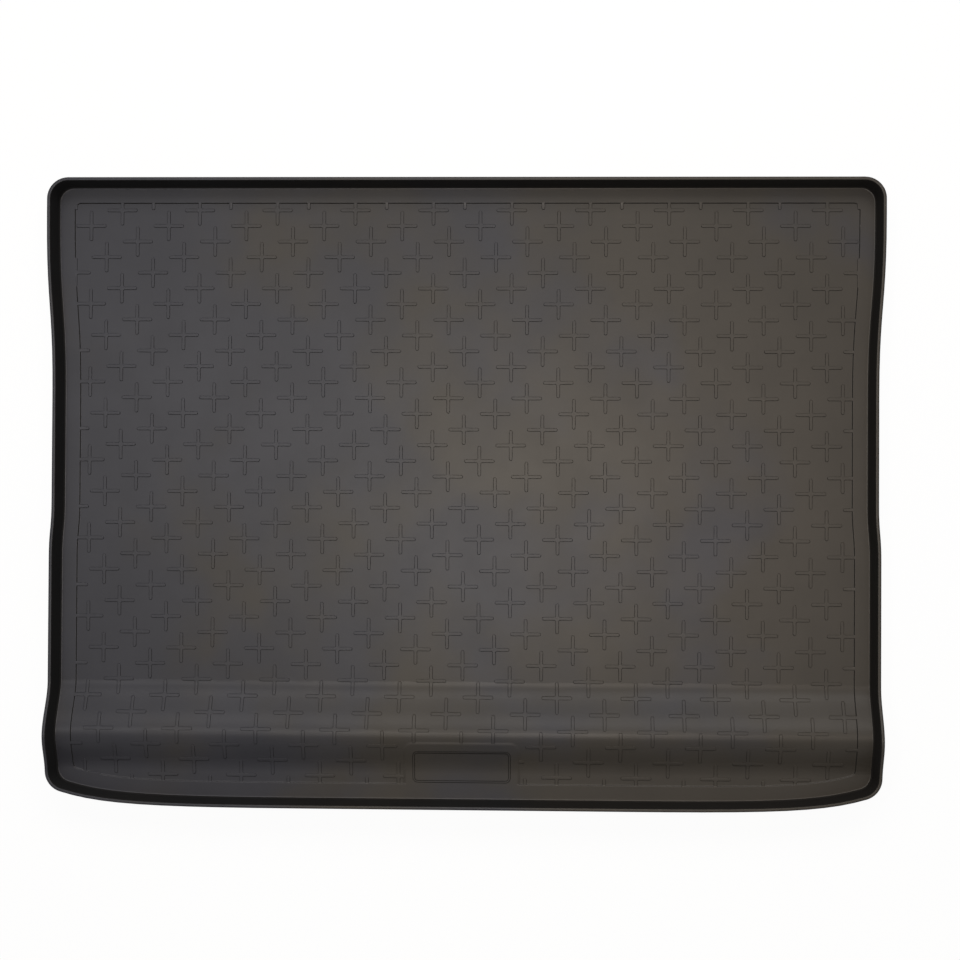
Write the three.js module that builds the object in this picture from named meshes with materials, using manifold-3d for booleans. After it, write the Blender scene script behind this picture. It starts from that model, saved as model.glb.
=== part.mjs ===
// Car boot liner: one rubber tray, moulded in a single piece. A raised rim runs all round it, a low
// hump crosses it just inside the sill, and a framed field of raised plus signs covers its floor.
// Millimetres, +Z up, +X to the right and +Y from the sill to the seats. The origin is the middle
// of the underside. Every plan size is taken at the inner foot of the rim wall.

import * as THREE from 'three';
import { mergeVertices } from 'three/addons/utils/BufferGeometryUtils.js';
import Module from 'manifold-3d';

// Plan of the tray
const FLOOR_DEPTH = 780; // sill to seats, along the middle
const FLOOR_WIDTH = 1044; // at the seats, where it is widest
const SILL_DRAW_IN = 6; // each side lies this much further in behind the sill corners
const WAIST_DRAW_IN = 9; // and this much at the waist, beside the wheel arches
const WAIST_START = 305; // from the sill to where the sides start to draw in
const WAIST_TAPER = 70; // length of the sides' inward sweep
const WAIST_LENGTH = 135; // straight stretch of the waist
const SEAT_STRAIGHT = 40; // straight end of the sides at the seats, with the corner
const SILL_BOW = 18; // how far the sill edge stands forward of its corners
const SILL_BOW_LENGTH = 300; // stretch of the sill edge that curves, at each end
const SILL_CORNER_SLOPE = 17; // degrees, slope of the sill edge where its corner starts
const SILL_CORNER_RADIUS = 20;
const SEAT_CORNER_RADIUS = 20;

// Sheet and rim section
const FLOOR_THICKNESS = 3; // under the tread field
const FIELD_STEP = 1; // the plain band stands this much above the tread field
const WALL_THICKNESS = 2.8;
const WALL_DRAFT = 2.2; // the wall leans out by this much from foot to top
const WALL_FOOT_CHAMFER = 3;
const RIM_HEIGHT = 38; // from the underside to the top of the rim
const BEAD_WIDTH = 4.8; // of the rolled edge along the top of the wall
const BEAD_DEPTH = 4;
const BEAD_CHAMFER = 1.1;
const UNDERSIDE_CHAMFER = 2.5;

// Hump behind the sill
const SILL_LEVEL = 9; // the sill strip's height above the main floor
const SILL_STRIP = 36; // flat strip between the rim and the hump
const HUMP_FALL = 47;
const HUMP_RISE = 66;
const HUMP_HEIGHT = 27;
const FALL_FACETS = 2;
const RISE_FACETS = 3;

// Tread field
const BAND_WIDTH = 20; // plain band between the rim wall and the field
const FIELD_CORNER_RADIUS = 9;
const CROSS_PITCH = 20; // spacing of the rows, and the step of the lattice along a row
const CROSS_CYCLE = 5; // lattice steps from one plus sign to the next in its row
const CROSS_SHIFT = 2; // lattice steps that each row is moved along from the row before
const CROSS_SPAN = 38.8; // tip to tip
const CROSS_ROOT_WIDTH = 5; // of an arm where it leaves the middle; it narrows to a point
const CROSS_RELIEF = 0.9;

// Name panel at the sill, left plain
const BADGE_WIDTH = 124;
const BADGE_HEIGHT = 41;
const BADGE_RIB = 3;
const BADGE_RIB_RELIEF = 0.9;
const BADGE_CORNER_RADIUS = 6.5;
const BADGE_SILL_GAP = 2.5; // from the field's sill edge to the badge
const PANEL_MARGIN = 10.5; // smooth margin round the badge
const PANEL_CORNER_RADIUS = 8;

// Values that follow from the sizes above
const SILL_Y = -FLOOR_DEPTH / 2;
const SEAT_Y = FLOOR_DEPTH / 2;
const BAND_LEVEL = FLOOR_THICKNESS + FIELD_STEP;
const HUMP_FOOT_Y = SILL_Y + SILL_STRIP;
const CREST_Y = HUMP_FOOT_Y + HUMP_FALL;
const HUMP_START_Y = CREST_Y + HUMP_RISE;
const SILL_SIDE_X = FLOOR_WIDTH / 2 - SILL_DRAW_IN;
const WAIST_SIDE_X = FLOOR_WIDTH / 2 - WAIST_DRAW_IN;
const SEAT_SIDE_X = FLOOR_WIDTH / 2;
const WAIST_START_Y = SILL_Y + WAIST_START;
const BADGE_Y = SILL_Y + BAND_WIDTH + BADGE_SILL_GAP + BADGE_HEIGHT / 2;
const BURY = 0.4; // how far a joined piece reaches into what it joins

const wasm = await Module();
wasm.setup();

// The hump's height has an S-shaped curve on each side of its crest
function humpHeight(y) {
  const { smoothstep } = THREE.MathUtils;
  if (y > CREST_Y) return HUMP_HEIGHT * (1 - smoothstep(y, CREST_Y, HUMP_START_Y));
  return SILL_LEVEL + (HUMP_HEIGHT - SILL_LEVEL) * smoothstep(y, HUMP_FOOT_Y, CREST_Y);
}

// Lines across the tray where one facet of the hump meets the next
function humpCreases() {
  const creases = [HUMP_FOOT_Y];
  for (let k = 1; k <= FALL_FACETS; k += 1) creases.push(HUMP_FOOT_Y + (HUMP_FALL * k) / FALL_FACETS);
  for (let k = 1; k <= RISE_FACETS; k += 1) creases.push(CREST_Y + (HUMP_RISE * k) / RISE_FACETS);
  return creases;
}

// The hump's height with flat facets between its creases
function facetHeight(y, creases) {
  const next = creases.findIndex((crease) => crease >= y);
  if (next === 0) return SILL_LEVEL;
  if (next < 0) return 0;
  const [low, high] = [creases[next - 1], creases[next]];
  return THREE.MathUtils.mapLinear(y, low, high, humpHeight(low), humpHeight(high));
}

const onCircle = (centre, radius, angle) =>
  new THREE.Vector2(Math.cos(angle), Math.sin(angle)).multiplyScalar(radius).add(centre);

function arcPoints(centre, radius, start, end, steps) {
  const curve = new THREE.EllipseCurve(centre.x, centre.y, radius, radius, start, end);
  return curve.getPoints(steps);
}

// S-shaped sweep of a side between two widths, parallel to Y at both ends
function sweepPoints(from, to, steps) {
  const middle = (from.y + to.y) / 2;
  const handles = [new THREE.Vector2(from.x, middle), new THREE.Vector2(to.x, middle)];
  return new THREE.CubicBezierCurve(from, ...handles, to).getPoints(steps);
}

// Sill edge, from the end of its straight middle, curving back to the start of the corner
function sillEdgePoints(inset, cornerStart, slope) {
  const flatEnd = new THREE.Vector2(cornerStart.x - SILL_BOW_LENGTH, SILL_Y + inset);
  const flatHandle = new THREE.Vector2(0.62 * SILL_BOW_LENGTH, 0).add(flatEnd);
  const cornerHandle = onCircle(cornerStart, -0.18 * SILL_BOW_LENGTH, slope);
  const curve = new THREE.CubicBezierCurve(flatEnd, flatHandle, cornerHandle, cornerStart);
  return curve.getPoints(5).slice(0, -1);
}

// Centre of a sill corner's arc, tangent to the side and to the sloping end of the sill edge
function sillCornerCentre(inset, radius, turn) {
  const slack = SILL_CORNER_RADIUS - inset - radius;
  const startY = SILL_Y + SILL_BOW - SILL_CORNER_RADIUS * Math.sin(turn);
  return new THREE.Vector2(
    SILL_SIDE_X - SILL_CORNER_RADIUS + slack,
    startY + (slack * (1 - Math.cos(turn))) / Math.sin(turn),
  );
}

// Right half of the plan from sill to seats, at a distance inside the foot of the wall
function halfPlan(inset, sillRadius, seatRadius) {
  const slope = THREE.MathUtils.degToRad(SILL_CORNER_SLOPE);
  const turn = slope - Math.PI / 2;
  const sillCentre = sillCornerCentre(inset, sillRadius, turn);
  const seatCentre = new THREE.Vector2(SEAT_SIDE_X, SEAT_Y).subScalar(inset + seatRadius);
  const side = (x, y) => new THREE.Vector2(x - inset, y);
  const waistStart = side(WAIST_SIDE_X, WAIST_START_Y + WAIST_TAPER);
  const waistEnd = side(WAIST_SIDE_X, WAIST_START_Y + WAIST_TAPER + WAIST_LENGTH);
  const creases = humpCreases().filter((y) => y > sillCentre.y + 1 && y < WAIST_START_Y - 1);
  return [
    ...sillEdgePoints(inset, onCircle(sillCentre, sillRadius, turn), slope),
    ...arcPoints(sillCentre, sillRadius, turn, 0, 4),
    ...creases.map((y) => side(SILL_SIDE_X, y)),
    ...sweepPoints(side(SILL_SIDE_X, WAIST_START_Y), waistStart, 2),
    ...sweepPoints(waistEnd, side(SEAT_SIDE_X, SEAT_Y - SEAT_STRAIGHT), 3),
    ...arcPoints(seatCentre, seatRadius, 0, Math.PI / 2, 5),
  ];
}

// Whole plan, anticlockwise from the right end of the sill's straight middle
function wholePlan(inset, sillRadius, seatRadius) {
  const right = halfPlan(inset, sillRadius, seatRadius);
  return [...right, ...right.map(({ x, y }) => new THREE.Vector2(-x, y)).reverse()];
}

// Triangles of a whole plan, in strips from side to side that bend along the hump's creases
function planTriangles(plan) {
  const triangles = [];
  const left = (right) => plan.length - 1 - right;
  for (let k = 1; k < plan.length / 2; k += 1) {
    triangles.push([k - 1, k, left(k)], [k - 1, left(k), left(k - 1)]);
  }
  return triangles;
}

// Rectangle with round corners between two heights along Y, centred on X = 0
function roundedRectangle(width, bottom, top, radius) {
  const right = width / 2 - radius;
  const shape = new THREE.Shape();
  shape.absarc(right, bottom + radius, radius, -Math.PI / 2, 0);
  shape.absarc(right, top - radius, radius, 0, Math.PI / 2);
  shape.absarc(-right, top - radius, radius, Math.PI / 2, Math.PI);
  shape.absarc(-right, bottom + radius, radius, Math.PI, 1.5 * Math.PI);
  return shape;
}

function toSolid(geometry) {
  geometry.deleteAttribute('normal');
  geometry.deleteAttribute('uv');
  const merged = mergeVertices(geometry);
  const vertProperties = Float32Array.from(merged.attributes.position.array);
  const triVerts = Uint32Array.from(merged.index.array);
  return new wasm.Manifold(new wasm.Mesh({ numProp: 3, vertProperties, triVerts }));
}

function fromIndexed(points, triangles) {
  const geometry = new THREE.BufferGeometry().setFromPoints(points);
  return geometry.setIndex(triangles.flat());
}

// Closed body through rings of equally many points, given as [points, height] from the bottom up.
// A last ring of one point closes the body in a peak.
function loft(rings, triangulate) {
  const count = rings[0][0].length;
  const points = rings.flatMap(([ring, z]) => ring.map(({ x, y }) => new THREE.Vector3(x, y, z)));
  const triangles = triangulate(rings[0][0]).map(([a, b, c]) => [c, b, a]);
  for (let ring = 1; ring < rings.length; ring += 1) {
    const [low, high] = [(ring - 1) * count, ring * count];
    const peaked = rings[ring][0].length === 1;
    for (let k = 0; k < count; k += 1) {
      const next = (k + 1) % count;
      triangles.push([low + k, low + next, peaked ? high : high + next]);
      if (!peaked) triangles.push([low + k, high + next, high + k]);
    }
  }
  const [topRing] = rings[rings.length - 1];
  if (topRing.length > 1) {
    const start = points.length - count;
    triangles.push(...triangulate(topRing).map((triangle) => triangle.map((k) => start + k)));
  }
  return toSolid(fromIndexed(points, triangles));
}

function extrude(shape, bottom, top, curveSegments = 1) {
  const settings = { depth: top - bottom, bevelEnabled: false, curveSegments };
  return toSolid(new THREE.ExtrudeGeometry(shape, settings).translate(0, 0, bottom));
}

// Flat tray blank; its section runs from the underside round the bead to the band
function makeBlank() {
  const beadOut = WALL_DRAFT + BEAD_WIDTH;
  const section = [
    [WALL_THICKNESS - UNDERSIDE_CHAMFER, 0],
    [WALL_THICKNESS, UNDERSIDE_CHAMFER],
    [WALL_THICKNESS + WALL_DRAFT, RIM_HEIGHT - BEAD_DEPTH],
    [beadOut, RIM_HEIGHT - BEAD_DEPTH + BEAD_CHAMFER],
    [beadOut, RIM_HEIGHT - BEAD_CHAMFER],
    [beadOut - BEAD_CHAMFER, RIM_HEIGHT],
    [WALL_DRAFT + BEAD_CHAMFER, RIM_HEIGHT],
    [WALL_DRAFT, RIM_HEIGHT - BEAD_CHAMFER],
    [0, BAND_LEVEL + WALL_FOOT_CHAMFER],
    [-WALL_FOOT_CHAMFER, BAND_LEVEL],
  ];
  const rings = section.map(([offset, z]) => {
    const plan = wholePlan(-offset, SILL_CORNER_RADIUS + offset, SEAT_CORNER_RADIUS + offset);
    return [plan, z];
  });
  return loft(rings, planTriangles);
}

// Block over the tread field, with its sides moved out by a margin
function makeFieldBlock(bottom, margin) {
  const radius = FIELD_CORNER_RADIUS + margin;
  const plan = wholePlan(BAND_WIDTH - margin, radius, radius);
  return loft([[plan, bottom], [plan, BAND_LEVEL + BURY]], planTriangles);
}

// Block over the name panel, from the rim wall into the field, with its sides moved in by a margin
function makePanelBlock(margin) {
  const width = BADGE_WIDTH + 2 * (PANEL_MARGIN - margin);
  const top = BADGE_Y + BADGE_HEIGHT / 2 + PANEL_MARGIN - margin;
  const panel = roundedRectangle(width, SILL_Y, top, PANEL_CORNER_RADIUS);
  return extrude(panel, 0, HUMP_HEIGHT + RIM_HEIGHT, 3);
}

// Plus sign, whose ridges fall away and narrow from its middle to its tips
function makeCross(x, y) {
  const grow = (CROSS_RELIEF + BURY) / CROSS_RELIEF;
  const [arm, half] = [(CROSS_SPAN / 2) * grow, (CROSS_ROOT_WIDTH / 2) * grow];
  const centre = new THREE.Vector2(x, y);
  const outline = [0, 1, 2, 3].flatMap((quarter) =>
    [[arm, 0], [half, half]].map(([along, across]) =>
      new THREE.Vector2(along, across)
        .rotateAround(new THREE.Vector2(), (quarter * Math.PI) / 2)
        .add(centre)));
  const rings = [[outline, FLOOR_THICKNESS - BURY], [[centre], FLOOR_THICKNESS + CROSS_RELIEF]];
  return loft(rings, (points) => THREE.ShapeUtils.triangulateShape(points, []));
}

// Plus signs at the lattice points that reach into the field, cut off at the field's edge
function makeTread() {
  const reachX = SEAT_SIDE_X - BAND_WIDTH + CROSS_SPAN / 2;
  const reachY = SEAT_Y - BAND_WIDTH + CROSS_SPAN / 2;
  const [columns, rows] = [reachX, reachY].map((reach) => Math.floor(reach / CROSS_PITCH));
  const crosses = [];
  for (let row = -rows; row <= rows; row += 1) {
    for (let column = -columns; column <= columns; column += 1) {
      const step = column - CROSS_SHIFT * (row + 1);
      if (step % CROSS_CYCLE === 0) crosses.push(makeCross(column * CROSS_PITCH, row * CROSS_PITCH));
    }
  }
  return crosses
    .reduce((tread, cross) => tread.add(cross))
    .intersect(makeFieldBlock(FLOOR_THICKNESS - 2 * BURY, BURY))
    .subtract(makePanelBlock(BURY));
}

function makeBadgeFrame() {
  const [bottom, top] = [BADGE_Y - BADGE_HEIGHT / 2, BADGE_Y + BADGE_HEIGHT / 2];
  const frame = roundedRectangle(BADGE_WIDTH, bottom, top, BADGE_CORNER_RADIUS);
  const innerWidth = BADGE_WIDTH - 2 * BADGE_RIB;
  const innerRadius = BADGE_CORNER_RADIUS - BADGE_RIB;
  frame.holes.push(roundedRectangle(innerWidth, bottom + BADGE_RIB, top - BADGE_RIB, innerRadius));
  return extrude(frame, BAND_LEVEL - BURY, BAND_LEVEL + BADGE_RIB_RELIEF, 2);
}

// Cuts each triangle that crosses the line y = crease along it
function cutAlong(points, triangles, crease) {
  const made = new Map();
  const offLine = (k) => {
    const distance = points[k].y - crease;
    return Math.abs(distance) < 1e-4 ? 0 : distance;
  };
  const crossing = (a, b) => {
    const [first, last] = [Math.min(a, b), Math.max(a, b)];
    const key = `${first} ${last}`;
    if (!made.has(key)) {
      const share = offLine(first) / (offLine(first) - offLine(last));
      made.set(key, points.push(points[first].clone().lerp(points[last], share)) - 1);
    }
    return made.get(key);
  };
  return triangles.flatMap((triangle) => {
    if (triangle.every((k) => offLine(k) === 0)) return [triangle];
    const [sillSide, seatSide] = [[], []];
    triangle.forEach((a, corner) => {
      const b = triangle[(corner + 1) % 3];
      if (offLine(a) <= 0) sillSide.push(a);
      if (offLine(a) >= 0) seatSide.push(a);
      if (offLine(a) * offLine(b) < 0) {
        sillSide.push(crossing(a, b));
        seatSide.push(crossing(a, b));
      }
    });
    return [...fan(sillSide), ...fan(seatSide)];
  });
}

function fan(polygon) {
  return polygon.slice(2).map((corner, k) => [polygon[0], polygon[k + 1], corner]);
}

// Bends a flat solid over the hump
function bend(solid) {
  const mesh = solid.getMesh();
  const points = [];
  for (let k = 0; k < mesh.vertProperties.length; k += 3) {
    points.push(new THREE.Vector3().fromArray(mesh.vertProperties, k));
  }
  let triangles = [];
  for (let k = 0; k < mesh.triVerts.length; k += 3) {
    triangles.push([...mesh.triVerts.slice(k, k + 3)]);
  }
  const creases = humpCreases();
  for (const crease of creases) triangles = cutAlong(points, triangles, crease);
  for (const point of points) point.z += facetHeight(point.y, creases);
  return toSolid(fromIndexed(points, triangles));
}

function makeLiner() {
  const recess = bend(makeFieldBlock(FLOOR_THICKNESS, 0)).subtract(makePanelBlock(0));
  const tray = bend(makeBlank()).subtract(recess).add(bend(makeBadgeFrame()));
  const mesh = tray.add(bend(makeTread())).getMesh();
  const geometry = new THREE.BufferGeometry();
  geometry.setAttribute('position', new THREE.BufferAttribute(mesh.vertProperties, 3));
  geometry.setIndex(new THREE.BufferAttribute(mesh.triVerts, 1));
  geometry.computeVertexNormals();
  const rubber = new THREE.MeshStandardMaterial({ color: 0x45423f, roughness: 0.62, metalness: 0 });
  const liner = new THREE.Mesh(geometry, rubber);
  liner.name = 'boot_liner';
  return liner;
}

const model = new THREE.Group();
model.add(makeLiner());

export default model;
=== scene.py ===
"""Looks of a car boot liner: one moulded rubber tray with a tread of raised plus signs.

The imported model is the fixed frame. The tray is modelled again here with a finer outline, round
edges and full plus signs, and it stands for the model's one node. Lengths are in metres, +Z is up
and +Y runs from the boot's sill to the seats.
"""

import logging
import math
from dataclasses import dataclass
from enum import Enum
from typing import Callable, Iterable

import bpy
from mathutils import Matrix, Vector


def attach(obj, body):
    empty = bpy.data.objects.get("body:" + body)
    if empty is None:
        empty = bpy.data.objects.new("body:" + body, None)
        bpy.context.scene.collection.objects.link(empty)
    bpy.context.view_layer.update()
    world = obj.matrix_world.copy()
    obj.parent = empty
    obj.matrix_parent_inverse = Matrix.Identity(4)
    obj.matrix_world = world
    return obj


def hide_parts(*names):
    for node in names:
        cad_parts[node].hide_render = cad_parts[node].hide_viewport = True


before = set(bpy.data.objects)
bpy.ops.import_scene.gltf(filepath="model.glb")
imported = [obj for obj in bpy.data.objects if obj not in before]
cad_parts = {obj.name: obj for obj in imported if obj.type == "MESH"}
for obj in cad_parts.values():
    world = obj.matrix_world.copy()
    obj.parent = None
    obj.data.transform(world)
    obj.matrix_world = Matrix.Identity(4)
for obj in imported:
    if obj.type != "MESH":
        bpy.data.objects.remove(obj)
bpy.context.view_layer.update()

NODE = "boot_liner"
BODY = "root"
MM = 0.001
QUARTER = math.pi / 2
# Least cosine between a face's normal and the way that it looks.
FACING = 0.99
# How near two points lie to be one: on an outline, on the finished tray, and where a plane cuts.
POINT_GAP = 0.02 * MM
WELD_GAP = 0.005 * MM
CUT_GAP = 0.001 * MM

logging.basicConfig(level=logging.INFO, format="%(message)s")
log = logging.getLogger(NODE)

Step = tuple[float, float]
Pair = tuple[float, float]
Triple = tuple[float, float, float]
Colour = tuple[float, float, float, float]
Values = dict[str | int, object]


class Side(Enum):
    """Which way an end face looks."""

    UP = 1
    DOWN = -1


class Cut(Enum):
    """What a boolean does with the other piece."""

    JOIN = "UNION"
    REMOVE = "DIFFERENCE"
    KEEP_INSIDE = "INTERSECT"


def deselect_all() -> None:
    """Leaves nothing selected or active in object mode."""
    bpy.ops.object.select_all(action="DESELECT")
    bpy.context.view_layer.objects.active = None


def make_active(piece: bpy.types.Object) -> None:
    """Selects one piece alone and makes it active."""
    deselect_all()
    piece.select_set(True)
    bpy.context.view_layer.objects.active = piece


def start_editing(piece: bpy.types.Object, mode: str = "FACE") -> None:
    """Puts a piece in edit mode with nothing selected.

    Args:
        piece: The object to edit.
        mode: VERT, EDGE or FACE, what is selected there.
    """
    make_active(piece)
    bpy.ops.object.mode_set(mode="EDIT")
    bpy.ops.mesh.select_mode(type=mode)
    bpy.ops.mesh.select_all(action="DESELECT")


def stop_editing() -> None:
    """Goes back to object mode."""
    bpy.ops.object.mode_set(mode="OBJECT")


def pick_faces(piece: bpy.types.Object, wanted: Callable[[bpy.types.MeshPolygon], bool]) -> None:
    """Selects the faces that pass a test, and stays in edit mode.

    Args:
        piece: The object in edit mode.
        wanted: Says of a face whether it is selected.
    """
    bpy.ops.mesh.select_mode(type="FACE")
    bpy.ops.mesh.select_all(action="DESELECT")
    stop_editing()
    for face in piece.data.polygons:
        face.select = wanted(face)
    bpy.ops.object.mode_set(mode="EDIT")


def pick_edges(piece: bpy.types.Object, wanted: Callable[[Vector, Vector], bool]) -> None:
    """Selects the edges whose two ends pass a test, and stays in edit mode.

    Args:
        piece: The object in edit mode.
        wanted: Says of an edge's two ends whether the edge is selected.
    """
    bpy.ops.mesh.select_mode(type="EDGE")
    bpy.ops.mesh.select_all(action="DESELECT")
    stop_editing()
    places = [vertex.co.copy() for vertex in piece.data.vertices]
    for edge in piece.data.edges:
        edge.select = wanted(*(places[index] for index in edge.vertices))
    bpy.ops.object.mode_set(mode="EDIT")


def pick_end(piece: bpy.types.Object, side: Side) -> None:
    """Selects the end face that lies highest or lowest of those that look up or down.

    Args:
        piece: The object in edit mode.
        side: The end to select.
    """
    stop_editing()
    ends = [face for face in piece.data.polygons if face.normal.z * side.value > FACING]
    outermost = max(ends, key=lambda face: face.center.z * side.value).index
    bpy.ops.object.mode_set(mode="EDIT")
    pick_faces(piece, lambda face: face.index == outermost)


def add_modifier(piece: bpy.types.Object, kind: str, **settings: object) -> None:
    """Adds one modifier to a piece and applies it at once.

    Args:
        piece: The object to change.
        kind: The modifier's type.
        **settings: Values of its properties.
    """
    make_active(piece)
    modifier = piece.modifiers.new(kind.lower(), kind)
    for name, value in settings.items():
        setattr(modifier, name, value)
    bpy.ops.object.modifier_apply(modifier=modifier.name)


def cut_with(piece: bpy.types.Object, other: bpy.types.Object, cut: Cut) -> None:
    """Joins or cuts a closed piece with another one, which is used up.

    Args:
        piece: The object that stays.
        other: The object that is deleted afterwards.
        cut: What is done with the other piece.
    """
    add_modifier(piece, "BOOLEAN", operation=cut.value, object=other, solver="MANIFOLD")
    bpy.data.objects.remove(other)


def ease(share: float) -> float:
    """Climbs smoothly from 0 to 1, level at the start and at the end."""
    return share * share * (3 - 2 * share)


def arc_handle(angle: float, radius: float) -> float:
    """Length of a curve's handles where it follows an arc."""
    return 4 / 3 * math.tan(angle / 4) * radius


def convex_round(radius: float, steps: int) -> list[Step]:
    """Insets that round an edge over, from upright to flat.

    Args:
        radius: Radius of the round.
        steps: Number of facets.

    Returns:
        Pairs of inward step and step along the end face's normal.
    """
    angles = [QUARTER * k / steps for k in range(steps + 1)]
    return [
        (radius * (math.cos(a) - math.cos(b)), radius * (math.sin(b) - math.sin(a)))
        for a, b in zip(angles, angles[1:])
    ]


def eased_step(width: float, drop: float, steps: int) -> list[Step]:
    """Insets that go from one level to another with a soft start and end.

    Args:
        width: Width of the slope.
        drop: Distance between the two levels.
        steps: Number of facets.

    Returns:
        Pairs of inward step and step along the end face's normal.
    """
    shares = [ease(k / steps) for k in range(steps + 1)]
    return [(width / steps, drop * (b - a)) for a, b in zip(shares, shares[1:])]


def grow(piece: bpy.types.Object, side: Side, steps: Iterable[Step]) -> None:
    """Lofts a piece further from an end face, by one inset or extrusion for each step.

    Args:
        piece: The object to lengthen.
        side: The end face that moves.
        steps: Pairs of inward step and step along the face's normal.
    """
    start_editing(piece)
    pick_end(piece, side)
    for inward, along in steps:
        if inward > 0:
            bpy.ops.mesh.inset(thickness=inward, depth=along, use_even_offset=True)
        else:
            move = {"value": (0, 0, along * side.value)}
            bpy.ops.mesh.extrude_region_move(TRANSFORM_OT_translate=move)
    stop_editing()


def thicken(piece: bpy.types.Object, rise: float) -> None:
    """Turns a flat face into a closed block.

    Args:
        piece: The flat face.
        rise: Height of the block over it.
    """
    start_editing(piece)
    bpy.ops.mesh.select_all(action="SELECT")
    bpy.ops.mesh.extrude_region_move(TRANSFORM_OT_translate={"value": (0, 0, rise)})
    bpy.ops.mesh.select_all(action="SELECT")
    bpy.ops.mesh.normals_make_consistent(inside=False)
    stop_editing()


def divide(piece: bpy.types.Object, stations: Iterable[float]) -> None:
    """Cuts every face of a piece that crosses one of a row of planes across Y.

    Args:
        piece: The object to divide.
        stations: Where the planes lie along Y.
    """
    start_editing(piece)
    for station in stations:
        bpy.ops.mesh.select_all(action="SELECT")
        bpy.ops.mesh.bisect(plane_co=(0, station, 0), plane_no=(0, 1, 0), threshold=CUT_GAP)
    stop_editing()


def weld(piece: bpy.types.Object, gap: float) -> None:
    """Merges the corners of a piece that lie nearly in one place.

    Args:
        piece: The object to change.
        gap: How near they lie to be merged.
    """
    start_editing(piece, "VERT")
    bpy.ops.mesh.select_all(action="SELECT")
    bpy.ops.mesh.remove_doubles(threshold=gap)
    stop_editing()


@dataclass(frozen=True)
class Plan:
    """Outline of the tray seen from above, taken at the inner foot of the rim wall."""

    depth: float = 780 * MM
    width: float = 1044 * MM
    sill_draw_in: float = 6 * MM
    waist_draw_in: float = 9 * MM
    waist_start: float = 305 * MM
    waist_taper: float = 70 * MM
    waist_length: float = 135 * MM
    seat_straight: float = 40 * MM
    sill_bow: float = 18 * MM
    sill_bow_length: float = 300 * MM
    sill_slope: float = math.radians(17)
    corner_radius: float = 20 * MM
    flat_handle: float = 0.62
    corner_handle: float = 0.18
    curve_steps: int = 10

    def sill_corner(self, inset: float, radius: float) -> Vector:
        """Centre of a sill corner, whose arc meets the side and the sloping sill edge.

        Args:
            inset: Distance inside the foot of the wall.
            radius: Radius of the corner there.

        Returns:
            The centre of the right corner's arc.
        """
        turn = self.sill_slope - QUARTER
        slack = self.corner_radius - inset - radius
        x = self.width / 2 - self.sill_draw_in - self.corner_radius + slack
        y = -self.depth / 2 + self.sill_bow - self.corner_radius * math.sin(turn)
        return Vector((x, y + slack * (1 - math.cos(turn)) / math.sin(turn)))

    def right_half(self, inset: float, radius: float) -> list[tuple[Vector, Vector, Vector]]:
        """Control points of the right half, from the sill to the seats.

        Args:
            inset: Distance inside the foot of the wall, negative outside it.
            radius: Radius of the corners there.

        Returns:
            Each point with the way to the handle before it and to the one after it.
        """
        turn = self.sill_slope - QUARTER
        along = Vector((math.cos(self.sill_slope), math.sin(self.sill_slope)))
        centre = self.sill_corner(inset, radius)
        corner = centre + radius * Vector((math.cos(turn), math.sin(turn)))
        sill_arc = arc_handle(-turn, radius)
        seat_arc = arc_handle(QUARTER, radius)
        bow = self.sill_bow_length
        side_x = self.width / 2 - inset
        sill_x, waist_x = side_x - self.sill_draw_in, side_x - self.waist_draw_in
        seat_y = self.depth / 2 - inset
        sill_y = inset - self.depth / 2
        taper_y = -self.depth / 2 + self.waist_start
        waist_y = taper_y + self.waist_taper
        waist_end = waist_y + self.waist_length
        sweep_end = self.depth / 2 - self.seat_straight
        sideways, up = Vector((1, 0)), Vector((0, 1))
        taper, rise = self.waist_taper / 2 * up, (sweep_end - waist_end) / 2 * up
        stub = self.corner_radius / 4 * up
        return [
            (Vector((corner.x - bow, sill_y)), -sideways * bow / 3, self.flat_handle * bow * sideways),
            (corner, -self.corner_handle * bow * along, sill_arc * along),
            (Vector((sill_x, centre.y)), -sill_arc * up, stub),
            (Vector((sill_x, taper_y)), -stub, taper),
            (Vector((waist_x, waist_y)), -taper, stub),
            (Vector((waist_x, waist_end)), -stub, rise),
            (Vector((side_x, sweep_end)), -rise, stub / 2),
            (Vector((side_x, seat_y - radius)), -stub / 2, seat_arc * up),
            (Vector((side_x - radius, seat_y)), seat_arc * sideways, -sideways * bow / 3),
        ]

    def draw_face(self, name: str, inset: float, radius: float, height: float) -> bpy.types.Object:
        """Draws the outline as a closed curve and fills it with one face.

        Args:
            name: Name of the new object.
            inset: Distance inside the foot of the wall, negative outside it.
            radius: Radius of the corners there.
            height: Height that the face lies at.

        Returns:
            The new mesh object.
        """
        right = self.right_half(inset, radius)
        flip = Vector((-1, 1))
        left = [(point * flip, after * flip, before * flip) for point, before, after in reversed(right)]
        deselect_all()
        bpy.ops.curve.primitive_bezier_circle_add()
        piece = bpy.context.object
        piece.name = name
        piece.data.resolution_u = self.curve_steps
        spline = piece.data.splines[0]
        spline.bezier_points.add(len(right) + len(left) - len(spline.bezier_points))
        for target, (point, before, after) in zip(spline.bezier_points, [*right, *left]):
            target.handle_left_type = target.handle_right_type = "FREE"
            target.co = (*point, height)
            target.handle_left = (*(point + before), height)
            target.handle_right = (*(point + after), height)
        bpy.ops.object.convert(target="MESH")
        weld(piece, POINT_GAP)
        start_editing(piece, "VERT")
        bpy.ops.mesh.select_all(action="SELECT")
        bpy.ops.mesh.edge_face_add()
        stop_editing()
        return piece


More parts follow.
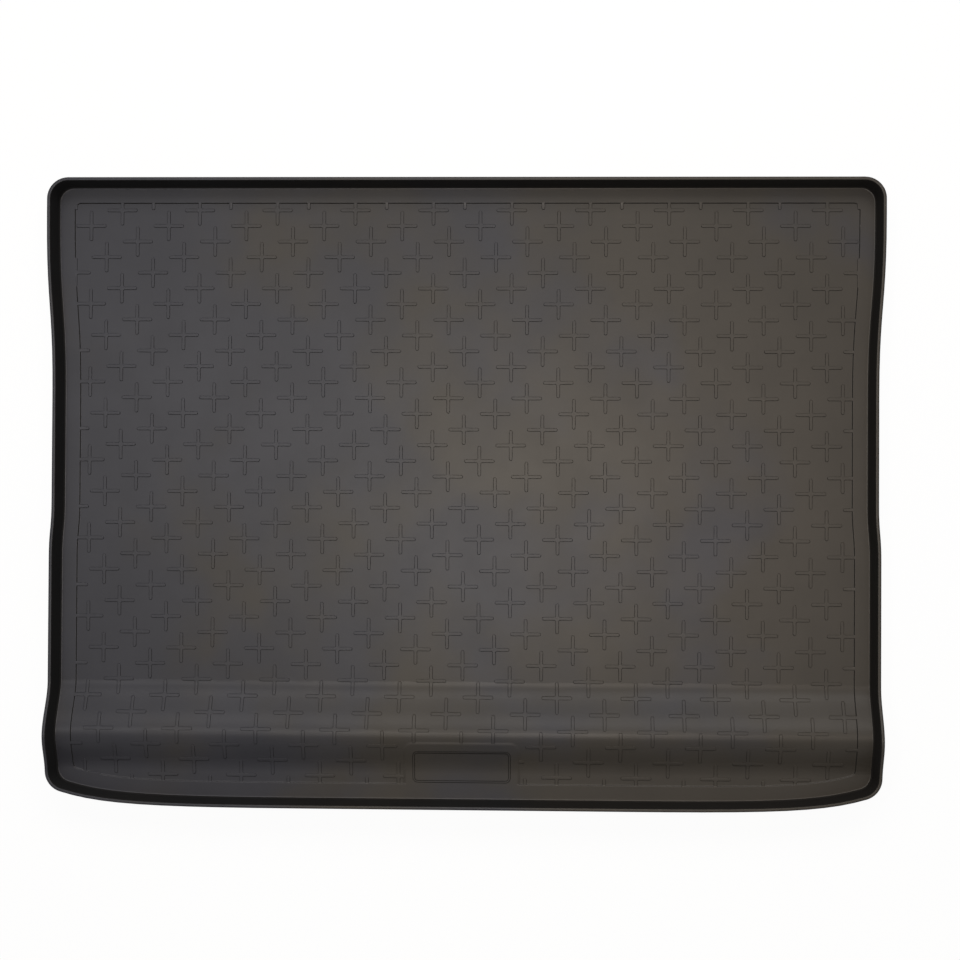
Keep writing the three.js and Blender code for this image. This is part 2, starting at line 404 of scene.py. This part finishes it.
@dataclass(frozen=True)
class RimSection:
    """Section through the sheet, the rim wall and the rolled edge along its top."""

    floor_thickness: float = 3 * MM
    field_step: float = 1 * MM
    wall_thickness: float = 2.8 * MM
    draft: float = 2.2 * MM
    foot_radius: float = 3 * MM
    height: float = 38 * MM
    bead_width: float = 4.8 * MM
    bead_depth: float = 4 * MM
    bead_radius: float = 1.6 * MM
    underside_radius: float = 2.5 * MM
    round_steps: int = 4

    @property
    def band_level(self) -> float:
        """Height of the plain band's top."""
        return self.floor_thickness + self.field_step

    @property
    def bead_out(self) -> float:
        """Distance of the bead's outer face outside the foot of the wall."""
        return self.draft + self.bead_width

    @property
    def lip(self) -> float:
        """How far the bead stands out past the wall."""
        return self.bead_width - self.wall_thickness

    def upward(self) -> list[Step]:
        """Steps from the bead's outer face over its top and down the wall to the band."""
        over = convex_round(self.bead_radius, self.round_steps)
        down = [(inward, -rise) for inward, rise in reversed(over)]
        foot = [(inward, -rise) for inward, rise in convex_round(self.foot_radius, self.round_steps)]
        drop = self.height - self.bead_radius - self.band_level - self.foot_radius
        return [*over, (self.bead_width - 2 * self.bead_radius, 0), *down, (self.draft, -drop), *foot]

    def downward(self) -> list[Step]:
        """Steps from the bead's outer face under it and down the wall to the underside."""
        drop = self.height - self.bead_depth - self.underside_radius
        return [
            *convex_round(self.bead_radius, self.round_steps),
            (self.lip - self.bead_radius, 0),
            (self.draft, drop),
            *convex_round(self.underside_radius, self.round_steps),
        ]


@dataclass(frozen=True)
class NamePanel:
    """Plain raised panel at the sill with its rounded frame line."""

    width: float = 124 * MM
    height: float = 41 * MM
    rib: float = 3 * MM
    rib_relief: float = 0.9 * MM
    rib_slope: float = 0.75 * MM
    corner_radius: float = 6.5 * MM
    sill_gap: float = 2.5 * MM
    margin: float = 10.5 * MM
    margin_radius: float = 8 * MM
    edge_width: float = 5 * MM
    corner_steps: int = 6

    def rectangle(self, name: str, size: Pair, middle: Vector, radius: float) -> bpy.types.Object:
        """Adds one flat face with round corners.

        Args:
            name: Name of the new object.
            size: Width and height.
            middle: Where the face's middle lies.
            radius: Radius of its corners.

        Returns:
            The new mesh object.
        """
        deselect_all()
        bpy.ops.mesh.primitive_plane_add(size=1, location=middle)
        piece = bpy.context.object
        piece.name = name
        piece.scale = (*size, 1)
        bpy.ops.object.transform_apply(location=True, rotation=False, scale=True)
        start_editing(piece, "VERT")
        bpy.ops.mesh.select_all(action="SELECT")
        bpy.ops.mesh.bevel(offset=radius, segments=self.corner_steps, affect="VERTICES")
        stop_editing()
        return piece

    def block(self, bottom_y: float, middle_y: float, level: float, side: list[Step]) -> bpy.types.Object:
        """Makes the block that keeps the panel out of the recess.

        Args:
            bottom_y: Where the block starts, under the rim wall.
            middle_y: Middle of the frame line.
            level: Height where the block's side starts to slope.
            side: Steps up the side, or none where the side is upright.

        Returns:
            The closed block.
        """
        spread = sum(inward for inward, _ in side)
        reach = self.margin + spread / 2
        top_y = middle_y + self.height / 2 + reach
        size = (self.width + 2 * reach, top_y - bottom_y)
        middle = Vector((0, (top_y + bottom_y) / 2, 0))
        piece = self.rectangle("panel_block", size, middle, self.margin_radius + spread)
        thicken(piece, level)
        grow(piece, Side.UP, [*side, (0, level)])
        return piece

    def frame_line(self, middle_y: float, level: float, bury: float) -> bpy.types.Object:
        """Makes the raised frame line.

        Args:
            middle_y: Middle of the frame.
            level: Height of the panel's face.
            bury: How far the rib reaches into the panel.

        Returns:
            The closed ring.
        """
        middle = Vector((0, middle_y, level - bury))
        piece = self.rectangle("frame_line", (self.width, self.height), middle, self.corner_radius)
        start_editing(piece)
        bpy.ops.mesh.select_all(action="SELECT")
        bpy.ops.mesh.inset(thickness=self.rib, use_even_offset=True)
        bpy.ops.mesh.delete(type="FACE")
        stop_editing()
        thicken(piece, self.rib_relief + bury)
        top = level + self.rib_relief
        start_editing(piece)
        pick_faces(piece, lambda face: abs(face.center.z - top) < bury / 2)
        bpy.ops.mesh.region_to_loop()
        bpy.ops.mesh.bevel(offset=self.rib_slope, segments=1, affect="EDGES")
        stop_editing()
        return piece


@dataclass(frozen=True)
class PlusSign:
    """One raised plus sign of the tread."""

    span: float = 38.8 * MM
    foot_width: float = 4.4 * MM
    relief: float = 0.96 * MM
    bury: float = 0.6 * MM
    side_slope: float = 0.34 * MM
    shoulder: float = 0.36 * MM
    inner_radius: float = 0.9 * MM
    tip_flat: float = 0.5 * MM
    pick_slack: float = 0.25 * MM

    def is_upright(self, start: Vector, end: Vector) -> bool:
        """Tells whether an edge of the sign's foot runs from its bottom to its top."""
        return abs(start.z - end.z) > self.bury / 2

    def reach(self, point: Vector) -> float:
        """Distance of a point from the sign's middle along its arms."""
        return max(abs(point.x), abs(point.y))

    def build(self, level: float) -> bpy.types.Object:
        """Models the sign around the origin.

        Args:
            level: Height of the floor that it stands on.

        Returns:
            The closed sign, with its foot buried in the floor.
        """
        half, tip = self.foot_width / 2, self.span / 2
        deselect_all()
        bpy.ops.mesh.primitive_cube_add(size=1, location=(0, 0, level - self.bury / 2))
        piece = bpy.context.object
        piece.name = "plus_sign"
        piece.scale = (self.foot_width, self.foot_width, self.bury)
        bpy.ops.object.transform_apply(location=True, rotation=False, scale=True)
        start_editing(piece)
        for way in (Vector((1, 0, 0)), Vector((0, 1, 0)), Vector((-1, 0, 0)), Vector((0, -1, 0))):
            pick_faces(piece, lambda face: (
                face.normal.dot(way) > FACING
                and abs(face.center.dot(way) - half) < self.pick_slack
                and abs(face.center.cross(way).z) < self.pick_slack
            ))
            bpy.ops.mesh.extrude_region_move(TRANSFORM_OT_translate={"value": way * (tip - half)})
        for side in Side:
            pick_faces(piece, lambda face: face.normal.z * side.value > FACING)
            bpy.ops.mesh.dissolve_faces()
        pick_edges(piece, lambda a, b: self.is_upright(a, b) and self.reach(a) > tip - self.pick_slack)
        bpy.ops.mesh.bevel(offset=half - self.tip_flat / 2, segments=2, affect="EDGES")
        pick_edges(piece, lambda a, b: self.is_upright(a, b) and self.reach(a) < half + self.pick_slack)
        bpy.ops.mesh.bevel(offset=self.inner_radius, segments=1, affect="EDGES")
        stop_editing()
        rise = self.relief - self.shoulder / 2
        grow(piece, Side.UP, [(self.side_slope, rise), (self.shoulder, self.relief - rise)])
        return piece


@dataclass(frozen=True)
class Tread:
    """Lattice of plus signs: one sign on every fifth step of a row, each row shifted by two."""

    sign: PlusSign = PlusSign()
    pitch: float = 20 * MM
    cycle: int = 5
    shift: int = 2

    def build(self, level: float, plan: Plan) -> bpy.types.Object:
        """Repeats the sign over more than the whole floor.

        Args:
            level: Height of the floor.
            plan: Outline of the floor.

        Returns:
            One object with all the signs, each closed.
        """
        cell = self.cycle * self.pitch
        reaches = (size / 2 + self.sign.span for size in (plan.width, plan.depth))
        columns, rows = (math.ceil(reach / cell) for reach in reaches)
        first = self.sign.build(level)
        signs = [first]
        for _ in range(1, self.cycle):
            make_active(first)
            bpy.ops.object.duplicate(linked=False)
            signs.append(bpy.context.object)
        for row, sign in enumerate(signs):
            across = self.shift * (row + 1) % self.cycle * self.pitch
            sign.location = (across - columns * cell, row * self.pitch - rows * cell, 0)
        make_active(first)
        for sign in signs:
            sign.select_set(True)
        bpy.ops.object.join()
        bpy.ops.object.transform_apply(location=True, rotation=False, scale=False)
        for axis, count in ((0, 2 * columns), (1, 2 * rows)):
            offset = Vector((0, 0, 0))
            offset[axis] = cell
            add_modifier(
                first,
                "ARRAY",
                count=count,
                use_relative_offset=False,
                use_constant_offset=True,
                constant_offset_displace=offset,
            )
        first.name = "tread"
        return first


@dataclass(frozen=True)
class Hump:
    """Low hump across the tray, just inside the sill, whose fall runs out gently to the rim."""

    sill_level: float = 9 * MM
    height: float = 27 * MM
    run_out: float = 3.5 * MM
    rim_y: float = -392 * MM
    foot_y: float = -354 * MM
    crest_y: float = -307 * MM
    start_y: float = -241 * MM
    station_gap: float = 4.1 * MM

    def height_at(self, y: float) -> float:
        """How far the tray is lifted at a distance along Y."""
        if y > self.crest_y:
            return self.height * self.share_at(y, self.start_y)
        drop = self.height - self.sill_level - self.run_out
        steep, gentle = self.share_at(y, self.foot_y), self.share_at(y, self.rim_y)
        return self.sill_level + drop * steep + self.run_out * gentle

    def share_at(self, y: float, end_y: float) -> float:
        """Smooth share of the climb from an end to the crest, 0 at the end and beyond it."""
        return ease(min(max((y - end_y) / (self.crest_y - end_y), 0), 1))

    def bend(self, piece: bpy.types.Object) -> None:
        """Cuts a flat piece across at short steps and lifts it to the hump's shape."""
        steps = round((self.start_y - self.rim_y) / self.station_gap)
        divide(piece, (self.start_y - self.station_gap * step for step in range(steps + 1)))
        group = piece.vertex_groups.new(name="lift")
        for vertex in piece.data.vertices:
            group.add([vertex.index], self.height_at(vertex.co.y) / self.height, "REPLACE")
        lift = {"vertex_group": group.name, "strength": self.height, "mid_level": 0}
        add_modifier(piece, "DISPLACE", direction="Z", **lift)
        piece.vertex_groups.clear()


@dataclass
class LinerTray:
    """The whole moulded tray."""

    plan: Plan = Plan()
    section: RimSection = RimSection()
    panel: NamePanel = NamePanel()
    tread: Tread = Tread()
    hump: Hump = Hump()
    band_width: float = 20 * MM
    field_radius: float = 9 * MM
    step_width: float = 1.9 * MM
    step_facets: int = 5
    bury: float = 0.4 * MM
    smooth_angle: float = math.radians(42)
    # Faces that rise less steeply than this get the copy with painted shade. Low sides that look to the
    # seats, toward the far lamp, keep the satin finish, all but the middle_rise facets.
    steep: float = 0.86
    seatward: float = 0.3
    middle_rise: Pair = (0.7, 0.8)

    @property
    def panel_y(self) -> float:
        """Middle of the name panel's frame line."""
        return -self.plan.depth / 2 + self.band_width + self.panel.sill_gap + self.panel.height / 2

    def make_blank(self) -> bpy.types.Object:
        """Lofts the tray without its tread from the bead's outer face, both ways."""
        section = self.section
        low = section.height - section.bead_depth + section.bead_radius
        rise = section.height - section.bead_radius - low
        radius = self.plan.corner_radius + section.bead_out
        piece = self.plan.draw_face("boot_liner_tray", -section.bead_out, radius, low)
        thicken(piece, rise)
        grow(piece, Side.UP, section.upward())
        grow(piece, Side.DOWN, section.downward())
        return piece

    def field_block(self, bottom: float, side: list[Step], edge: list[Step]) -> bpy.types.Object:
        """Makes a block over the tread field, without the name panel.

        Args:
            bottom: Height of the block's underside.
            side: Steps down the block's side from the band, or none where the side is upright.
            edge: The same steps at the panel's edge, up from the floor.

        Returns:
            The closed block.
        """
        level = self.section.band_level
        block = self.plan.draw_face("field_block", self.band_width, self.field_radius, level)
        thicken(block, self.bury)
        floor = level - sum(along for _, along in side)
        rest = [(0, floor - bottom)] if floor - bottom > self.bury / 2 else []
        grow(block, Side.DOWN, [*side, *rest])
        panel = self.panel.block(-self.plan.depth / 2, self.panel_y, floor, edge)
        cut_with(block, panel, Cut.REMOVE)
        return block

    def build(self) -> bpy.types.Object:
        """Models the tray flat, with its tread, and bends it over the hump.

        Returns:
            The finished mesh object.
        """
        section = self.section
        tray = self.make_blank()
        side = eased_step(self.step_width, section.field_step, self.step_facets)
        edge = eased_step(self.panel.edge_width, section.field_step, self.step_facets)
        cut_with(tray, self.field_block(section.floor_thickness, side, edge), Cut.REMOVE)
        signs = self.tread.build(section.floor_thickness, self.plan)
        clip = self.field_block(section.floor_thickness - 2 * self.bury, [], [])
        cut_with(signs, clip, Cut.KEEP_INSIDE)
        cut_with(tray, signs, Cut.JOIN)
        cut_with(tray, self.panel.frame_line(self.panel_y, section.band_level, self.bury), Cut.JOIN)
        self.dress(tray)
        self.hump.bend(tray)
        weld(tray, WELD_GAP)
        bpy.ops.object.shade_smooth_by_angle(angle=self.smooth_angle)
        add_modifier(tray, "WEIGHTED_NORMAL", keep_sharp=True)
        return tray

    def takes_painted_shade(self, face: bpy.types.MeshPolygon) -> bool:
        """Tells whether a face takes the rougher copy of the finish, whose darker colour is painted
        shade.

        Steep faces do, as painted shade where light falls sideways on them. Of the tread's low sides that
        look to the seats, toward the far lamp, only the middle of the field's edge does.

        Args:
            face: A face of the tray, still flat.

        Returns:
            True for the rougher copy with painted shade, False for the satin one.
        """
        rise = abs(face.normal.z)
        low = face.center.z < self.section.band_level + self.bury
        middle = self.middle_rise[0] < rise < self.middle_rise[1]
        return rise < self.steep and (middle or not low or face.normal.y < self.seatward)

    def dress(self, tray: bpy.types.Object) -> None:
        """Gives the floor its satin finish, and the walls and most steep sides a rougher, less shiny copy
        whose darker colour is painted shade.

        Args:
            tray: The tray, still flat.
        """
        tray.data.materials.clear()
        for finish in (FLOOR_FINISH, SHADED_FINISH):
            tray.data.materials.append(finish.build())
        for face in tray.data.polygons:
            face.material_index = int(self.takes_painted_shade(face))


@dataclass(frozen=True)
class Noise:
    """Noise with so many waves for each metre, and finer waves of a given number and strength."""

    scale: float
    detail: float
    roughness: float


class Tree:
    """A node tree that is filled by short calls."""

    def __init__(self, tree: bpy.types.NodeTree) -> None:
        """Keeps the tree and empties it."""
        self.tree = tree
        tree.nodes.clear()

    def add(self, kind: str, inputs: Values | None = None, **settings: object) -> bpy.types.Node:
        """Adds a node.

        Args:
            kind: Blender's name of the node's type.
            inputs: Values or output sockets for its input sockets.
            **settings: Values of the node's properties.

        Returns:
            The new node.
        """
        node = self.tree.nodes.new(kind)
        for name, value in settings.items():
            setattr(node, name, value)
        for name, value in (inputs or {}).items():
            if isinstance(value, bpy.types.NodeSocket):
                self.tree.links.new(value, node.inputs[name])
            else:
                node.inputs[name].default_value = value
        return node

    def mix(self, share: object, first: object, second: object) -> bpy.types.NodeSocket:
        """Mixes two colours.

        Args:
            share: How much of the second one is used.
            first: A colour or an output socket.
            second: A colour or an output socket.

        Returns:
            The mixed colour's socket.
        """
        return self.add("ShaderNodeMix", {0: share, 6: first, 7: second}, data_type="RGBA").outputs[2]

    def math(self, operation: str, *values: object) -> bpy.types.NodeSocket:
        """Works out a number from one or more others."""
        return self.add("ShaderNodeMath", dict(enumerate(values)), operation=operation).outputs[0]

    def noise(self, place: object, noise: Noise) -> bpy.types.NodeSocket:
        """Adds noise over a place."""
        return self.add("ShaderNodeTexNoise", {
            "Vector": place,
            "Scale": noise.scale,
            "Detail": noise.detail,
            "Roughness": noise.roughness,
        }).outputs["Fac"]

    def spread(self, value: object, start: Pair, end: Pair = (0, 1)) -> bpy.types.NodeSocket:
        """Stretches a range of values smoothly over another one."""
        values = {0: value, 1: start[0], 2: start[1], 3: end[0], 4: end[1]}
        return self.add("ShaderNodeMapRange", values, interpolation_type="SMOOTHSTEP").outputs[0]


@dataclass(frozen=True)
class EffectGroup:
    """A shader node group with named inputs and outputs, made once."""

    name: str
    inputs: dict[str, tuple[str, object]]
    outputs: dict[str, str]
    fill: Callable[[Tree, bpy.types.Node], dict[str, bpy.types.NodeSocket]]

    def get(self) -> bpy.types.NodeTree:
        """Gives the group, and makes it the first time."""
        if self.name in bpy.data.node_groups:
            return bpy.data.node_groups[self.name]
        group = bpy.data.node_groups.new(self.name, "ShaderNodeTree")
        for name, (kind, value) in self.inputs.items():
            socket = group.interface.new_socket(name=name, in_out="INPUT", socket_type=kind)
            if value is not None:
                socket.default_value = value
        for name, kind in self.outputs.items():
            group.interface.new_socket(name=name, in_out="OUTPUT", socket_type=kind)
        tree = Tree(group)
        results = self.fill(tree, tree.add("NodeGroupInput"))
        tree.add("NodeGroupOutput", results)
        return group

    def place(self, tree: Tree, **inputs: object) -> bpy.types.Node:
        """Places the group in a material with the material's own values."""
        return tree.add("ShaderNodeGroup", inputs, node_tree=self.get())


TINT_NOISE = Noise(scale=4.5, detail=3, roughness=0.55)
TINT_RANGE = (0.36, 0.64)
SHADE_NOISE = Noise(scale=11, detail=4, roughness=0.6)
SHADE_RANGE = (0.3, 0.7)
FINE_GRAIN = Noise(scale=900, detail=2, roughness=0.6)
COARSE_GRAIN = Noise(scale=160, detail=3, roughness=0.5)
COARSE_SHARE = 0.5


def fill_mottle(tree: Tree, source: bpy.types.Node) -> dict[str, bpy.types.NodeSocket]:
    """Broad soft patches, as moulded rubber has them where its bloom lies uneven, and a painted light
    tint that leans warm to the right across X.
    """
    place = source.outputs["Place"]
    across = tree.add("ShaderNodeSeparateXYZ", {0: place}).outputs["X"]
    # The lean along X is a painted light tint, warmer where warm light falls from the right.
    painted_light_lean = tree.math("MULTIPLY", across, source.outputs["Lean"])
    tint = tree.math("SUBTRACT", tree.noise(place, TINT_NOISE), painted_light_lean)
    shade = tree.noise(place, SHADE_NOISE)
    return {"Tint": tree.spread(tint, TINT_RANGE), "Shade": tree.spread(shade, SHADE_RANGE)}


def fill_grain(tree: Tree, source: bpy.types.Node) -> dict[str, bpy.types.NodeSocket]:
    """Fine eroded grain of the mould, with a coarser one under it."""
    place = source.outputs["Place"]
    fine = tree.noise(place, FINE_GRAIN)
    coarse = tree.noise(place, COARSE_GRAIN)
    return {"Height": tree.math("MULTIPLY_ADD", coarse, COARSE_SHARE, fine)}


MOTTLE = EffectGroup(
    name="Rubber mottle",
    inputs={"Place": ("NodeSocketVector", None), "Lean": ("NodeSocketFloat", 0.0)},
    outputs={"Tint": "NodeSocketFloat", "Shade": "NodeSocketFloat"},
    fill=fill_mottle,
)
GRAIN = EffectGroup(
    name="Mould grain",
    inputs={"Place": ("NodeSocketVector", None)},
    outputs={"Height": "NodeSocketFloat"},
    fill=fill_grain,
)


@dataclass(frozen=True)
class RubberFinish:
    """Moulded black rubber with a painted light tint: warmer to the right, where warm light falls, and
    cooler to the left.

    The values that are set here are those of the satin floor.
    """

    name: str
    warm: Colour = (0.0335, 0.0295, 0.0242, 1)
    cool: Colour = (0.0265, 0.0270, 0.0325, 1)
    # How far the colour leans warm to the right: a painted tint of the light, not of the rubber.
    painted_light_lean: float = 0.35
    shade_depth: float = 0.12
    roughness: Pair = (0.375, 0.39)
    specular: float = 0.16
    grain_depth: float = 0.05 * MM

    def build(self) -> bpy.types.Material:
        """Makes the material."""
        material = bpy.data.materials.new(self.name)
        material.use_nodes = True
        tree = Tree(material.node_tree)
        place = tree.add("ShaderNodeTexCoord").outputs["Object"]
        mottle = MOTTLE.place(tree, Place=place, Lean=self.painted_light_lean)
        grain = GRAIN.place(tree, Place=place)
        tone = tree.mix(mottle.outputs["Tint"], self.warm, self.cool)
        depth = tree.math("MULTIPLY", mottle.outputs["Shade"], self.shade_depth)
        tone = tree.mix(depth, tone, (0, 0, 0, 1))
        roughness = tree.spread(mottle.outputs["Shade"], (0, 1), self.roughness)
        bump = tree.add("ShaderNodeBump", {
            "Height": grain.outputs["Height"],
            "Distance": self.grain_depth,
            "Strength": 1.0,
        })
        shader = tree.add("ShaderNodeBsdfPrincipled", {
            "Base Color": tone,
            "Roughness": roughness,
            "Specular IOR Level": self.specular,
            "Normal": bump.outputs["Normal"],
        })
        tree.add("ShaderNodeOutputMaterial", {"Surface": shader.outputs[0]})
        return material


FLOOR_FINISH = RubberFinish("liner_rubber")
# Rougher, less shiny copy of the rubber for steep faces. Its darker colour is painted shade.
SHADED_FINISH = RubberFinish(
    name="liner_rubber_painted_shade",
    warm=(0.0125, 0.0115, 0.0105, 1),
    cool=(0.0115, 0.0115, 0.0118, 1),
    roughness=(0.78, 0.82),
    specular=0.04,
)


@dataclass(frozen=True)
class Lamp:
    """One soft rectangular lamp that looks at the tray."""

    name: str
    place: Triple
    target: Triple
    size: Pair
    power: float
    colour: Triple

    def build(self) -> None:
        """Adds the lamp."""
        light = bpy.data.lights.new(self.name, "AREA")
        light.shape = "RECTANGLE"
        light.size, light.size_y = self.size
        light.energy = self.power
        light.color = self.colour
        lamp = bpy.data.objects.new(self.name, light)
        bpy.context.collection.objects.link(lamp)
        lamp.location = self.place
        look = Vector(self.target) - Vector(self.place)
        lamp.rotation_euler = look.to_track_quat("-Z", "Y").to_euler()


@dataclass(frozen=True)
class Studio:
    """Pale floor, white surroundings, soft lamps and the camera that looks down on the tray."""

    floor_size: float = 8.0
    floor_tone: Colour = (0.86, 0.86, 0.86, 1)
    floor_glow: float = 0.94
    fill: float = 0.16
    lamps: tuple[Lamp, ...] = (
        Lamp(
            name="key",
            place=(0, 0, 3.0),
            target=(0, 0, 0),
            size=(0.5, 0.4),
            power=30.5,
            colour=(1.0, 0.94, 0.85),
        ),
        Lamp(
            name="right",
            place=(0.45, 0, 3.0),
            target=(0.14, 0, 0),
            size=(0.5, 0.4),
            power=10.5,
            colour=(1.0, 0.78, 0.64),
        ),
        Lamp(
            name="left",
            place=(-1.0, 0.3, 3.0),
            target=(-0.3, 0, 0),
            size=(0.5, 0.4),
            power=11.5,
            colour=(1.0, 0.98, 1.0),
        ),
        Lamp(
            name="far",
            place=(0.1, 1.95, 2.25),
            target=(0, -0.2, 0),
            size=(2.4, 1.3),
            power=58,
            colour=(1.0, 0.96, 0.93),
        ),
    )
    focal_length: float = 70.54
    camera_place: Triple = (0.1022, -0.0198, 2.3964)
    camera_degrees: Triple = (0.864, 1.938, 0.293)

    def seen(self, tree: Tree) -> bpy.types.NodeSocket:
        """Mask that is 1 for rays from the camera and for those reflected or let through."""
        path = tree.add("ShaderNodeLightPath").outputs
        mirrored = tree.math("MAXIMUM", path["Is Glossy Ray"], path["Is Transmission Ray"])
        return tree.math("MAXIMUM", path["Is Camera Ray"], mirrored)

    def build_floor(self) -> None:
        """Lays the floor that the tray rests on."""
        deselect_all()
        bpy.ops.mesh.primitive_plane_add(size=self.floor_size)
        floor = bpy.context.object
        floor.name = "studio_floor"
        material = bpy.data.materials.new("studio_floor")
        material.use_nodes = True
        tree = Tree(material.node_tree)
        matt = tree.add("ShaderNodeBsdfDiffuse", {"Color": self.floor_tone})
        glow = tree.add("ShaderNodeEmission", {"Color": (1, 1, 1, 1)})
        share = tree.math("MULTIPLY", self.seen(tree), self.floor_glow)
        surface = tree.add("ShaderNodeMixShader", {0: share, 1: matt.outputs[0], 2: glow.outputs[0]})
        tree.add("ShaderNodeOutputMaterial", {"Surface": surface.outputs[0]})
        floor.data.materials.append(material)

    def build_world(self) -> None:
        """Surrounds the scene with white that lights the tray only a little."""
        world = bpy.data.worlds.new("studio")
        bpy.context.scene.world = world
        world.use_nodes = True
        tree = Tree(world.node_tree)
        strength = tree.add("ShaderNodeMapRange", {0: self.seen(tree), 3: self.fill, 4: 1.0})
        sky = tree.add("ShaderNodeBackground", {"Color": (1, 1, 1, 1), "Strength": strength.outputs[0]})
        tree.add("ShaderNodeOutputWorld", {"Surface": sky.outputs[0]})

    def build_camera(self) -> None:
        """Sets the camera over the tray, tilted as the photograph's was."""
        camera = bpy.data.objects.new("camera", bpy.data.cameras.new("camera"))
        bpy.context.collection.objects.link(camera)
        camera.data.lens = self.focal_length
        camera.location = self.camera_place
        camera.rotation_euler = [math.radians(angle) for angle in self.camera_degrees]
        bpy.context.scene.camera = camera

    def build(self) -> None:
        """Sets up the whole studio."""
        self.build_floor()
        self.build_world()
        self.build_camera()
        for lamp in self.lamps:
            lamp.build()
        bpy.context.scene.view_settings.view_transform = "Standard"


def main() -> None:
    """Builds the liner, its finish, the stage and the camera, in that order."""
    tray = LinerTray().build()
    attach(tray, BODY)
    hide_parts(NODE)
    Studio().build()


if __name__ == "__main__":
    main()
